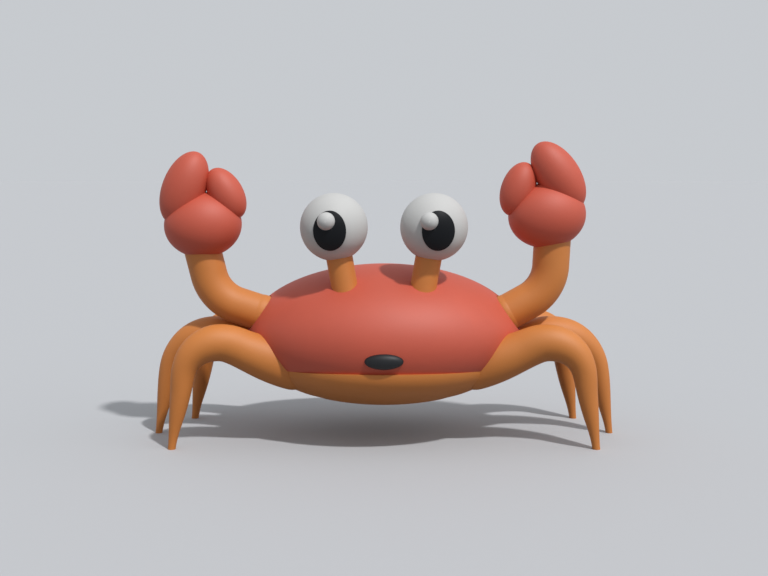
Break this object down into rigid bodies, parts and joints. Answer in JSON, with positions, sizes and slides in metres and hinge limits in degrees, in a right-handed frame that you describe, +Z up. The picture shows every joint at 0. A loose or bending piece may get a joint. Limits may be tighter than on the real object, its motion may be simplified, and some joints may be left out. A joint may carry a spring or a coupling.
{
  "type": "crab figurine",
  "caption": "Tabletop crab figurine with a hollow two-part body, arched legs, eyes on stalks, and clawed arms that turn up and down at the shoulders.",
  "frame": {"origin": "on the floor, under the middle of the body", "axes": "+Z up, the crab faces -Y, +X to the right as seen from the front; left and right in names are as seen from the front"},
  "size_m": [0.1218, 0.0541, 0.0768],
  "materials": {
    "red_shell": "smooth matte moulded vinyl, coral red",
    "orange_body": "smooth matte moulded vinyl, orange",
    "eye_white": "smooth satin white",
    "black": "smooth satin black",
    "cup_nylon": "natural nylon",
    "steel": "zinc-plated steel screws and pins"
  },
  "bodies": {
    "body": {"back_leg_left": "orange_body", "back_leg_right": "orange_body", "belly": "orange_body", "belly_screws": "steel", "carapace": "red_shell", "eye_glint_left": "eye_white", "eye_glint_right": "eye_white", "eye_stalk_left": "orange_body", "eye_stalk_right": "orange_body", "eyeball_left": "eye_white", "eyeball_right": "eye_white", "front_leg_left": "orange_body", "front_leg_right": "orange_body", "middle_leg_left": "orange_body", "middle_leg_right": "orange_body", "mouth": "black", "pupil_left": "black", "pupil_right": "black", "shoulder_cup_left": "cup_nylon", "shoulder_cup_right": "cup_nylon"},
    "left_arm": {"arm_left": "orange_body", "shoulder_pin_left": "steel", "palm_left": "red_shell", "large_finger_left": "red_shell", "small_finger_left": "red_shell"},
    "right_arm": {"arm_right": "orange_body", "shoulder_pin_right": "steel", "palm_right": "red_shell", "large_finger_right": "red_shell", "small_finger_right": "red_shell"}
  },
  "joints": [
    {"name": "left_shoulder", "type": "hinge", "parent": "body", "child": "left_arm", "pos_m": [-0.03159, -0.004, 0.03265], "axis": [0, 1, 0], "range_deg": [-3, 15.5]},
    {"name": "right_shoulder", "type": "hinge", "parent": "body", "child": "right_arm", "pos_m": [0.03159, -0.004, 0.03265], "axis": [0, -1, 0], "range_deg": [-14, 4.5]}
  ]
}
